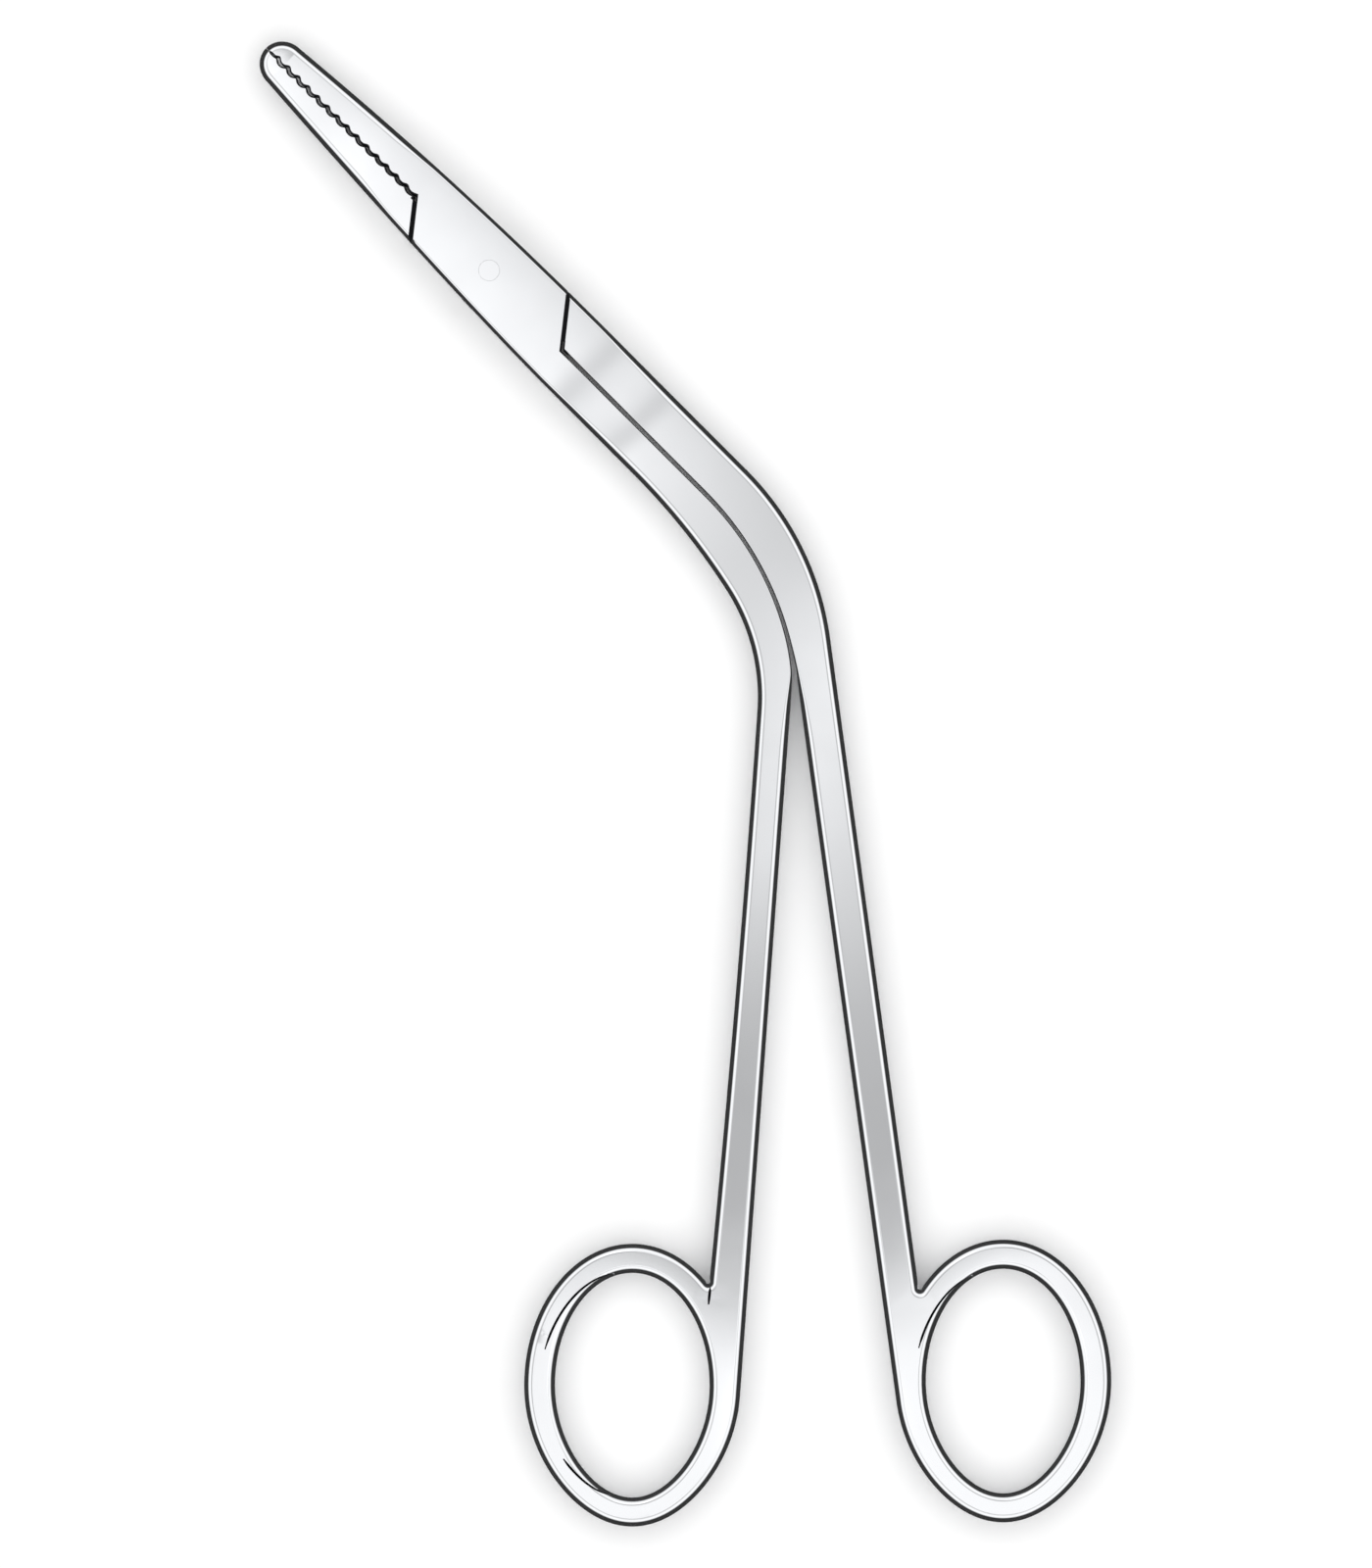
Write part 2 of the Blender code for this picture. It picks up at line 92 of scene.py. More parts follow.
shanks = {
    "boxOutside": 5.03,
    "tongueOutside": 4.97,
    "divide": -0.58,
    "gap": 0.3,
    "thickness": 3.8,
    "rounding": 1.0,
    "facingRounding": 0.2,
    "blend": 14.0,
    "together": 43.5,         # how far the shanks lie side by side, from the box's end
    "boxOutsideBends": (29.3, [(84.6, 12.3), (23.8, None)]),
    "boxFacingBends": (37.6, [(36.7, 36.6), (6.4, None)]),
    "tongueOutsideBends": (38.9, [(35.1, None)]),
    "tongueFacingBends": (37.1, [(38.9, None)]),
    "waist": 0.25,
    "corrections": 6,         # steps that settle the heading in which a bend ends
    "bendFacets": 40,
    "facets": 200,
    "junctionFacets": 12,
}

rings = {
    "boxCentre": (17.2, -134.0),
    "tongueCentre": (61.8, -133.5),
    "halfWidth": 13.0,
    "halfLength": 17.0,
    "sideBand": 3.7,
    "endBand": 3.5,
    "taper": 0.09,
    "thickness": 4.0,
    "rounding": 1.0,
    "boxCrotch": 44.7,
    "tongueCrotch": 141.0,
    "fillet": 0.15,
    "filletReach": 60.0,      # how far round the ring its fillet is looked for, in halvings
    "halvings": 40,
    "probe": 0.5,
    "facets": 180,
    "filletFacets": 8,
}

finish = {
    "widest": 1.5,            # inset of the flat faces, scaled back to each rounding
    "roundingFacets": 7,
    "edgeTilt": 38.0,         # how steep an edge's rounding gets
    "edgeBevel": (0.42, 0.6), # the steepest, outermost part of a rounding, and its largest share
    "weld": 0.001,            # points of the plan nearer than this are one
    "far": 10.0,              # how far cutters reach past the steel
    "overrun": 0.03,          # and how far their chamfers do
    "seatStep": 0.02,
    "sharpAngle": 32.0,
    "barFacets": 128,
    "noseFacets": 14,
    "spindleFacets": 44,
    "discFacets": 72,
}

# The two sides of the jaws and box together, by the sign of v: half width at the box's end
# and how it widens
spindle = {
    1: (shanks["tongueOutside"], jaws["upperFlare"]),
    -1: (shanks["boxOutside"], jaws["lowerFlare"]),
}

boxRear = -shanks["divide"] / math.tan(math.radians(box["shoulderAngle"]))
boxEnd = box["shoulderReach"] + boxRear + box["shoulderGap"] + shanks["gap"]
jawRoot = -box["shoulderReach"] - box["shoulderGap"]
noseRoot = jaws["noseLength"] - jaws["length"]
slant = 1 / math.tan(math.radians(box["shoulderAngle"]))
shoulderShift = box["shoulderGap"] / 2 / math.sin(math.radians(box["shoulderAngle"]))


def aim(degrees):
    return Vector((math.cos(math.radians(degrees)), math.sin(math.radians(degrees))))


def leftOf(vector):
    return Vector((-vector.y, vector.x))


def ease(share):
    share = min(max(share, 0.0), 1.0)
    return share * share * (3 - 2 * share)


def spread(start, end, count):
    return [start + (end - start) * step / count for step in range(count + 1)]


def jointPoint(u, v):
    along = aim(jaws["heading"])
    return along * u + leftOf(along) * v


def thicknessAt(u):
    back = ease((u + jaws["length"]) / (jawRoot + jaws["length"]))
    return jaws["tipThickness"] + (boxThickness - jaws["tipThickness"]) * back


def spindleOffset(u, side):
    outside, flare = spindle[side]
    share = (boxEnd - u) / (boxEnd - noseRoot)
    return outside - (outside - jaws["noseHalfWidth"]) * share**flare


def station(point, thickness, rounding):
    return {"at": Vector(point), "half": thickness / 2, "round": rounding}


# One side of the jaws and box together, from the nose to the box's end
def spindleSide(side):
    places = []
    for step in range(finish["noseFacets"]):
        angle = math.radians(90 * (step + 0.5) / finish["noseFacets"])
        reach = jaws["noseLength"] * math.cos(angle)
        places.append((noseRoot - reach, jaws["noseHalfWidth"] * math.sin(angle)))
    shoulder = box["shoulderReach"] - spindle[side][0] * slant
    for u in [*spread(noseRoot, shoulder, finish["spindleFacets"]), boxEnd]:
        places.append((u, spindleOffset(u, side)))
    stations = []
    for u, v in places:
        crisp = ease((u - jawRoot) / jaws["blend"] + 1)
        rounding = jaws["rounding"] + (box["rounding"] - jaws["rounding"]) * crisp
        stations.append(station(jointPoint(u, side * v), thicknessAt(u), rounding))
    return stations


def ringPoint(centre, degrees, bandX=0.0, bandY=0.0):
    x, y = aim(degrees)
    taper = 1 - rings["taper"] * min(y, 0.0) ** 2
    wide = (rings["halfWidth"] - bandX) * taper * x
    return Vector(centre) + Vector((wide, (rings["halfLength"] - bandY) * y))


def ringOutward(centre, degrees):
    step = ringPoint(centre, degrees + rings["probe"]) - ringPoint(centre, degrees - rings["probe"])
    return -leftOf(step.normalized())


def ringAngle(centre, point):
    y = (point.y - centre[1]) / rings["halfLength"]
    taper = 1 - rings["taper"] * min(y, 0.0) ** 2
    x = (point.x - centre[0]) / (rings["halfWidth"] * taper)
    return math.degrees(math.atan2(y, x))


# Where a line from a point touches the ring
def tangentAngle(centre, point, spin):
    x = (point.x - centre[0]) / rings["halfWidth"]
    y = (point.y - centre[1]) / rings["halfLength"]
    return math.degrees(math.atan2(y, x) - spin * math.acos(1 / math.hypot(x, y)))


# Heading in which a line leaves a bend to reach a target
def headingTo(centre, radius, target):
    reach = target - centre
    return math.degrees(math.atan2(reach.y, reach.x) - math.asin(radius / reach.length))


def distances(points):
    travelled = [0.0]
    for a, b in zip(points, points[1:]):
        travelled.append(travelled[-1] + (b - a).length)
    return travelled


def evenly(points, count):
    travelled = distances(points)
    spaced, leg = [], 0
    for mark in spread(0, travelled[-1], count):
        while leg < len(points) - 2 and travelled[leg + 1] < mark:
            leg += 1
        share = (mark - travelled[leg]) / (travelled[leg + 1] - travelled[leg])
        spaced.append(points[leg].lerp(points[leg + 1], min(share, 1.0)))
    return spaced


# One edge of a shank: straight, round its bends, and straight on to the ring. Both edges of
# a shank get the same number of points, evenly spaced, so that they can be joined in pairs.
def shankEdge(offset, bends, findTarget, stop=None, level=None, waist=0.0):
    start, turns = bends
    heading = jaws["heading"]
    point = jointPoint(start, offset)
    points = [jointPoint(boxEnd + shanks["gap"], offset), point]
    for radius, turn in turns:
        centre = point - radius * leftOf(aim(heading))
        end = heading - turn if turn else headingTo(centre, radius, findTarget(point))
        for _ in range(0 if turn else shanks["corrections"]):
            end = headingTo(centre, radius, findTarget(centre + radius * leftOf(aim(end))))
        for angle in spread(heading, end, shanks["bendFacets"])[1:]:
            points.append(centre + radius * leftOf(aim(angle)))
        heading, point = end, points[-1]
    run = (stop or findTarget)(point) - point
    inward = waist * leftOf(run.normalized())
    share = 1.0
    if level is not None:
        beyond = (rings["rounding"] + 2 * rings["fillet"]) / run.length
        share = (level - point).dot(run) / run.dot(run) + beyond
    for s in spread(0, share, shanks["bendFacets"])[1:]:
        points.append(point + run * s + inward * (4 * s * (1 - s)))
    points = evenly(points, shanks["facets"])
    if level is not None:
        points += [point + run * s for s in spread(share, 1, shanks["junctionFacets"])[1:]]
    return points


def shankStations(points, rounding, crispFor):
    travelled = distances(points)
    stations = []
    for point, distance in zip(points, travelled):
        boxShare = 1 - ease(distance / shanks["blend"])
        ringShare = ease(2 * distance / travelled[-1] - 1)
        thickness = shanks["thickness"] + (boxThickness - shanks["thickness"]) * boxShare
        thickness += (rings["thickness"] - shanks["thickness"]) * ringShare
        edgeShare = ease((distance - crispFor) / shanks["blend"])
        edge = rounding + (shanks["rounding"] - rounding) * edgeShare
        edge += (rings["rounding"] - shanks["rounding"]) * ringShare
        stations.append(station(point, thickness, edge))
    return stations


# The small round between a shank's outer edge and its ring, and the angle where it ends
def crotchFillet(centre, crotch, spin, before, corner):
    radius = rings["fillet"]
    away = leftOf((corner - before).normalized())
    if (ringPoint(centre, crotch + spin * rings["filletReach"] / 2) - before).dot(away) < 0:
        away = -away
    low, high = 0.0, rings["filletReach"]
    for _ in range(rings["halvings"]):
        angle = crotch + spin * (low + high) / 2
        hub = ringPoint(centre, angle) + radius * ringOutward(centre, angle)
        if (hub - before).dot(away) < radius:
            low = (low + high) / 2
        else:
            high = (low + high) / 2
    first, last = -away, -ringOutward(centre, angle)
    sweep = math.degrees(math.atan2(first.x * last.y - first.y * last.x, first.dot(last)))
    start = math.degrees(math.atan2(first.y, first.x))
    turns = spread(start, start + sweep, rings["filletFacets"])
    return [hub + radius * aim(turn) for turn in turns], angle


# Each vertex of the flat plan carries its half thickness, its rounding and where it stands.
# Its z is only the sign of its face until thicken gives it a height.
def planLayers(bm):
    names = ("half", "round", "edgeX", "edgeY", "row")
    made = {name: bm.verts.layers.float.new(name) for name in names}
    made["order"] = bm.verts.layers.int.new("order")
    return made


def settle(vert, layers, place):
    vert.co = (place["at"].x, place["at"].y, -1)
    for name in ("half", "round"):
        vert[layers[name]] = place[name]
    vert[layers["edgeX"]], vert[layers["edgeY"]] = place["at"]


def chain(bm, layers, places):
    verts = [bm.verts.new() for _ in places]
    for vert, place in zip(verts, places):
        settle(vert, layers, place)
    return verts


# Extrudes a chain of edges sideways, onto the other edge of the shank or ring
def sideways(bm, layers, verts, places):
    edges = [bm.edges.get(pair) or bm.edges.new(pair) for pair in zip(verts, verts[1:])]
    for number, vert in enumerate(verts):
        vert[layers["order"]] = number
    made = bmesh.ops.extrude_edge_only(bm, edges=edges)["geom"]
    fresh = [item for item in made if isinstance(item, bmesh.types.BMVert)]
    fresh.sort(key=lambda vert: vert[layers["order"]])
    for vert, place in zip(fresh, places):
        settle(vert, layers, place)
    return fresh


# Gives the flat plan its thickness and rounds every edge over
def thicken(bm, layers):
    raised = bmesh.ops.extrude_face_region(bm, geom=bm.faces[:])["geom"]
    for item in raised:
        if isinstance(item, bmesh.types.BMVert):
            item.co.z = 1
    bmesh.ops.recalc_face_normals(bm, faces=bm.faces)
    for side in (-1, 1):
        flats = [face for face in bm.faces if all(vert.co.z == side for vert in face.verts)]
        bmesh.ops.inset_region(
            bm, faces=flats, thickness=finish["widest"], use_boundary=True, use_even_offset=True
        )
        for face in flats:
            for vert in face.verts:
                vert[layers["row"]] = 1
    row = layers["row"]
    across = [edge for edge in bm.edges if abs(edge.verts[0][row] - edge.verts[1][row]) > 0.5]
    bmesh.ops.subdivide_edges(
        bm, edges=across, cuts=finish["roundingFacets"] - 1, use_grid_fill=True
    )
    steepest, firstRow = math.radians(finish["edgeTilt"]), 1 / finish["roundingFacets"]
    for vert in bm.verts:
        half, rounding, share = vert[layers["half"]], vert[layers["round"]], vert[row]
        side = 1 if vert.co.z > 0 else -1
        bevel = min(finish["edgeBevel"][0], rounding * finish["edgeBevel"][1])
        curl = (rounding - bevel) / math.sin(steepest)
        tilt = steepest * min((1 - share) / (1 - firstRow), 1.0)
        onBevel = bevel * min(share / firstRow, 1.0)
        inward = onBevel + curl * (math.sin(steepest) - math.sin(tilt))
        edge = Vector((vert[layers["edgeX"]], vert[layers["edgeY"]]))
        if share > 0:
            edge += (vert.co.xy - edge) / share * (inward / finish["widest"])
        up = half - curl * (1 - math.cos(tilt)) - (bevel - onBevel) * math.tan(steepest)
        vert.co = (edge.x * mm, edge.y * mm, (middle + side * up) * mm)


# Joins the edges of one half into a plan, with its ring's rim and hole, and thickens it
def halfBody(name, outer, facing, centre, crotch, spin):
    notch, ringStart = crotchFillet(centre, crotch, spin, outer[-2]["at"], outer[-1]["at"])
    sweep = spin * ((ringAngle(centre, facing[-1]["at"]) - ringStart) * spin % 360)
    around = spread(ringStart, ringStart + sweep, rings["facets"])
    across = spread(around[-1], ringStart + spin * 360, shanks["junctionFacets"])[1:]

    def ringStation(point):
        return station(point, rings["thickness"], rings["rounding"])

    outer = outer[:-1] + [ringStation(notch[0])]
    level = len(outer)
    bm = bmesh.new()
    layers = planLayers(bm)
    outerVerts = chain(bm, layers, outer)
    facingVerts = sideways(bm, layers, outerVerts, facing[:level])
    notchVerts = chain(bm, layers, [ringStation(point) for point in notch[1:]])
    rim = chain(bm, layers, [ringStation(ringPoint(centre, angle)) for angle in around[1:-1]])
    joining = chain(bm, layers, facing[level:][::-1])
    ringVerts = [notchVerts[-1], *rim, *joining, facingVerts[-1]]
    hole = [ringPoint(centre, a, rings["sideBand"], rings["endBand"]) for a in (*around, *across)]
    holeVerts = sideways(bm, layers, ringVerts, [ringStation(point) for point in hole])
    bm.faces.new([outerVerts[-1], *notchVerts, holeVerts[0], facingVerts[-1]])
    bmesh.ops.remove_doubles(bm, verts=bm.verts, dist=finish["weld"])
    thicken(bm, layers)
    piece = finished(name, bm)
    piece.data.materials.append(satin)
    # The second slot is the milled steel, whose near-black colour is painted shade in every cut
    piece.data.materials.append(milledPaintedShade)
    return piece


def finished(name, bm):
    bmesh.ops.recalc_face_normals(bm, faces=bm.faces)
    mesh = bpy.data.meshes.new(name)
    bm.to_mesh(mesh)
    bm.free()
    piece = bpy.data.objects.new(name, mesh)
    bpy.context.scene.collection.objects.link(piece)
    return piece


# The fine lines inside the rings, each from an angle at the hole's edge to an angle where it
# has drawn away from it, and the crease that carries the shank's edge on below the left
# crotch: all milled and too narrow to be buffed, and in the near-black steel as painted shade
ringLines = {
    "box": [(94.0, 163.0, 1.65), (260.0, 217.0, 1.3)],
    "tongue": [(101.0, 164.0, 1.25)],
    "width": 0.3,
    "depth": 0.27,
    "thin": 0.5,              # size at the ends, as a share
    "taper": 0.1,             # and how far the thinning reaches
    "curve": 0.8,
    "facets": 48,
}

crease = {"length": 2.6, "width": 0.34, "depth": 0.2, "thin": 0.6, "taper": 0.3, "facets": 12}


def outlineOffset(outline, distance):
    area = sum(a[0] * b[1] - a[1] * b[0] for a, b in zip(outline, outline[1:] + outline[:1]))
    sign = -1 if area > 0 else 1
    moved = []
    for before, here, after in zip(outline[-1:] + outline, outline, outline[1:] + outline[:1]):
        here = Vector(here)
        one = leftOf((here - Vector(before)).normalized())
        two = leftOf((Vector(after) - here).normalized())
        both = one + two
        moved.append(here + both * (2 * sign * distance / max(both.length_squared, 1.0)))
    return moved


# A cutter over an outline in u and v. Its sides flare where they meet the faces given by
# their height over u, which leaves a small chamfer along the cut.
def cutter(name, outline, low, high, flares=()):
    over, (width, depth) = finish["overrun"], box["brokenEdge"]
    wide, inside = outlineOffset(outline, width * (1 + over / depth)), -depth
    levels = [(0, low, outline), (0, high, outline)]
    if -1 in flares:
        levels[:1] = [(0, low, wide), (-1, over, wide), (-1, inside, outline)]
    if 1 in flares:
        levels[-1:] = [(1, inside, outline), (1, over, wide), (0, high, wide)]

    def place(number, level):
        side, height, shape = level
        if side:
            u = max(outline[number][0], -jaws["length"])
            height = middle + side * (thicknessAt(u) / 2 + height)
        point = jointPoint(*shape[number])
        return (point.x * mm, point.y * mm, height * mm)

    bm = bmesh.new()
    order = bm.verts.layers.int.new("order")
    verts = [bm.verts.new(place(number, levels[0])) for number in range(len(outline))]
    for number, vert in enumerate(verts):
        vert[order] = number
    top = bm.faces.new(verts)
    for level in levels[1:]:
        raised = bmesh.ops.extrude_face_region(bm, geom=[top, *top.edges])["geom"]
        top = [item for item in raised if isinstance(item, bmesh.types.BMFace)][0]
        for item in raised:
            if isinstance(item, bmesh.types.BMVert):
                item.co = place(item[order], level)
    # Every face the cutter leaves, its chamfer too, takes the near-black milled steel: painted shade
    # along the cut
    for face in bm.faces:
        face.material_index = 1
    return finished(name, bm)


def roundBar(name, radius, low, high):
    bm = bmesh.new()
    bmesh.ops.create_cone(
        bm, cap_ends=True, segments=finish["barFacets"], radius1=radius * mm, radius2=radius * mm,
        depth=(high - low) * mm,
    )
    bmesh.ops.translate(bm, verts=bm.verts, vec=(0, 0, (low + high) / 2 * mm))
    return finished(name, bm)


# A V-shaped cutter whose deepest line follows a path over the upper face of a ring
def lineCutter(name, path, look):
    face, over = middle + rings["thickness"] / 2, finish["overrun"]
    half, depth = look["width"] / 2, look["depth"]

    def section(number):
        share = number / (len(path) - 1)
        size = look["thin"] + (1 - look["thin"]) * ease(min(share, 1 - share) / look["taper"])
        along = path[min(number + 1, len(path) - 1)] - path[max(number - 1, 0)]
        across = leftOf(along.normalized()) * half * (size + over / depth)
        return [
            (path[number] + across, face + over), (path[number], face - depth * size),
            (path[number] - across, face + over),
        ]

    bm = bmesh.new()
    corners = [bm.verts.new((*(point * mm), height * mm)) for point, height in section(0)]
    edges = bm.faces.new(corners).edges[:]
    for number in range(1, len(path)):
        made = bmesh.ops.extrude_edge_only(bm, edges=edges)["geom"]
        edges = [item for item in made if isinstance(item, bmesh.types.BMEdge)]
        corners = [item for item in made if isinstance(item, bmesh.types.BMVert)]
        for vert, (point, height) in zip(corners, section(number)):
            vert.co = (*(point * mm), height * mm)
    bmesh.ops.holes_fill(bm, edges=edges, sides=3)
    # The groove takes the near-black milled steel: painted shade along the line
    for face in bm.faces:
        face.material_index = 1
    return finished(name, bm)


def ringLine(centre, start, end, reach):
    path = []
    for share in spread(0, 1, ringLines["facets"]):
        angle = start + (end - start) * share
        edge = ringPoint(centre, angle, rings["sideBand"], rings["endBand"])
        path.append(edge + ringOutward(centre, angle) * (reach * share ** ringLines["curve"]))
    return lineCutter("ringLine", path, ringLines)


# Cuts with each tool in turn and keeps the result as the piece's own mesh
def cutAway(piece, tools):
    for tool in tools:
        modifier = piece.modifiers.new(tool.name, "BOOLEAN")
        modifier.operation = "DIFFERENCE"
        modifier.solver = "EXACT"
        modifier.object = tool
    depsgraph = bpy.context.evaluated_depsgraph_get()
    mesh = bpy.data.meshes.new_from_object(piece.evaluated_get(depsgraph))
    piece.modifiers.clear()
    piece.data = mesh
    mesh.name = piece.name
    for tool in tools:
        bpy.data.objects.remove(tool)
    print(piece.name, "cut with", len(tools), "tools:", len(mesh.polygons), "faces")


def discArc(radius, start, end):
    return [tuple(radius * aim(angle)) for angle in spread(start, end, finish["discFacets"])]


def opposite(points):
    return [(-u, -v) for u, v in points]


def frontShoulder(v, shift):
    return (-box["shoulderReach"] - v * slant + shift, v)


def rearShoulder(v, shift):
    return (box["shoulderReach"] - v * slant + shift, v)


def waistRadius():
    return min(spindleOffset(0, 1), spindleOffset(0, -1)) - box["waistSetIn"]


# Beside one arm of the tongue, round its waist, and the end that stops the other arm
def slotSide(side):
    far = finish["far"]
    radius = waistRadius() + box["waistGap"]
    arm = box["armOffset"] - box["armGap"]
    dip = math.degrees(math.asin(arm / radius))
    endAngle = 90 + box["opening"] + math.degrees(box["stopGap"] / radius)
    outline = [(-box["shoulderReach"] - far, -arm), *discArc(radius, 180 + dip, endAngle)]
    along, across = aim(box["opening"]), aim(box["opening"] + 90)
    for start, u in ((-box["stopGap"], 0), (far, far)):
        reach = spindleOffset(side * u, side) + box["stopGap"]
        outline.append(tuple(start * along + reach * across))
    return [*outline, (box["shoulderReach"] + far, far)]


# Rounded serrations from the front shoulder to just short of the tips
def toothLine(gap, shift):
    rootDepth = teeth["depthAtRoot"]
    start = frontShoulder(gap + rootDepth / 2, shift)[0]
    count = int((start + jaws["length"] - teeth["plainTip"]) / teeth["pitch"])
    points = []
    for step in (0, *range(teeth["cornerPoints"], count * teeth["pointsPerTooth"] + 1)):
        phase = 2 * math.pi * step / teeth["pointsPerTooth"]
        share = step / (count * teeth["pointsPerTooth"])
        depth = rootDepth + (teeth["depthAtTip"] - rootDepth) * share
        wave = math.cos(phase + teeth["lean"] * math.sin(phase))
        u = start - teeth["pitch"] * step / teeth["pointsPerTooth"]
        points.append((u, gap + depth / 2 * wave))
    end, tip = points[-1][0] - teeth["pitch"] / 4, gap * teeth["tipGap"]
    return [(-jaws["length"] - finish["far"], tip), (end, tip), *points[::-1]]


# One half before its joint is cut, and the outer edge of its shank. Its shank lies on the
# side that is given, and the other half's on the other.
def blankHalf(name, half, side, waist=0.0):
    centre, crotchAngle = rings[half + "Centre"], rings[half + "Crotch"]
    crotch = ringPoint(centre, crotchAngle)
    facingAt = shanks["divide"] + side * shanks["gap"] / 2 + side * finish["seatStep"]

    def touch(point):
        return ringPoint(centre, tangentAngle(centre, point, -side))

    def fillet(point):
        return crotchFillet(centre, crotchAngle, -side, point, crotch)[0][0]

    outside = shankEdge(
        side * shanks[half + "Outside"], shanks[half + "OutsideBends"], lambda point: crotch,
        fillet, waist=waist,
    )
    facing = shankEdge(facingAt, shanks[half + "FacingBends"], touch, level=crotch)
    piece = halfBody(
        name,
        spindleSide(side) + shankStations(outside, box["rounding"], 0),
        spindleSide(-side) + shankStations(facing, shanks["facingRounding"], shanks["together"]),
        centre, crotchAngle, -side,
    )
    return piece, outside


def boxHalf():
    piece, outside = blankHalf("boxHalf", "box", -1, shanks["waist"])
    far = finish["far"]
    low, high = -far, boxThickness + far
    jaw = toothLine(jaws["gap"] / 2, shoulderShift)
    jaw += [frontShoulder(-far, shoulderShift), (-jaws["length"] - far, -far)]
    divide = shanks["divide"] - shanks["gap"] / 2
    beyond = boxEnd + far / 10
    shank = [rearShoulder(far, -shoulderShift), rearShoulder(divide, -shoulderShift)]
    shank += [(beyond, divide), (beyond, far)]
    slot = slotSide(1) + opposite(slotSide(-1))
    slotHalf = box["slotHeight"] / 2
    along = (outside[-1] - outside[-2]).normalized()
    start = outside[-1] + leftOf(along) * rings["fillet"]
    path = [start + along * reach for reach in spread(0, crease["length"], crease["facets"])]
    cutAway(piece, [
        cutter("otherJaw", jaw, low, high, (-1, 1)),
        cutter("otherShank", shank, low, high, (-1, 1)),
        cutter("slot", slot, middle - slotHalf, middle + slotHalf),
        roundBar("pinSeat", pin["radius"] + pin["seatClearance"], low, high),
        *[ringLine(rings["boxCentre"], *place) for place in ringLines["box"]],
        lineCutter("crease", path, crease),
    ])
    return piece


def tongueHalf():
    piece = blankHalf("tongueHalf", "tongue", 1)[0]
    far = finish["far"]
    low, high = -far, boxThickness + far
    waist = waistRadius()
    dip = math.degrees(math.asin(box["armOffset"] / waist))
    arc = discArc(waist, 180 + dip, 90)
    jaw = toothLine(-jaws["gap"] / 2, -shoulderShift)
    jaw += [(jaw[-1][0], -box["armOffset"]), *arc, (0, far), (-jaws["length"] - far, far)]
    divide = shanks["divide"] + shanks["gap"] / 2
    beyond = boxEnd + far / 10
    shank = opposite(arc)[::-1]
    shank += [rearShoulder(box["armOffset"], shoulderShift), rearShoulder(divide, shoulderShift)]
    shank += [(beyond, divide), (beyond, -far), (0, -far)]
    cheek = [frontShoulder(far, -shoulderShift), rearShoulder(far, shoulderShift)]
    cheek += [rearShoulder(-far, shoulderShift), frontShoulder(-far, -shoulderShift)]
    tongue = box["slotHeight"] / 2 - box["tongueClearance"]
    cutAway(piece, [
        cutter("boxJaw", jaw, low, high, (-1, 1)),
        cutter("boxShank", shank, low, high, (-1, 1)),
        cutter("upperCheek", cheek, middle + tongue, high, (1,)),
        cutter("lowerCheek", cheek, low, middle - tongue, (-1,)),
        roundBar("pinBore", pin["radius"] + pin["runningClearance"], low, high),
        *[ringLine(rings["tongueCentre"], *place) for place in ringLines["tongue"]],
    ])
    return piece


def linear(hexColour):
    channels = [int(hexColour[i:i + 2], 16) / 255 for i in (1, 3, 5)]
    return [c / 12.92 if c <= 0.04045 else ((c + 0.055) / 1.055) ** 2.4 for c in channels] + [1]


# Adds a node, sets its own settings and its inputs, and links it to earlier ones
def addNode(tree, kind, settings=None, **inputs):
    node = tree.nodes.new(kind)
    for name, value in (settings or {}).items():
        setattr(node, name, value)
    for name, value in inputs.items():
        socket = node.inputs[int(name[1:])] if name[1:].isdigit() else node.inputs[name]
        if isinstance(value, bpy.types.NodeSocket):
            tree.links.new(value, socket)
        else:
            socket.default_value = value
    return node


def emptyMaterial(name):
    material = bpy.data.materials.new(name)
    material.use_nodes = True
    material.node_tree.nodes.clear()
    return material, material.node_tree


# Satin-polished martensitic stainless steel, glass-beaded and then buffed: a soft, bright
# metal that is even in colour, with faint drifts of gloss and a grain only just visible.
satinSteel = {
    "colour": "#D2D3D5",
    "roughness": (0.09, 0.13),
    "driftSize": 9.0,
    "grainSize": 0.22,        # real beading is some 0.05 mm, drawn coarser so that it shows
    "grainDepth": 0.0006,
}

# The same steel as it is milled inside the joint and on the jaws' grip: never buffed, so rougher,
# and coloured near black as painted shade, so a joint line reads as a dark line.
milledSteelPaintedShade = {
    "colour": "#38393C",
    "roughness": (0.42, 0.5),
    "driftSize": 6.0,
    "grainSize": 0.22,
    "grainDepth": 0.002,
}

# The pin is the same steel, ground flush and buffed with the cheeks, so it hardly shows.
groundPin = {
    "colour": "#D2D3D5",
    "roughness": (0.09, 0.12),
    "driftSize": 3.0,
    "grainSize": 0.18,
    "grainDepth": 0.0006,
}


noiseRange = (0.3, 0.7)       # between which most of a noise texture lies


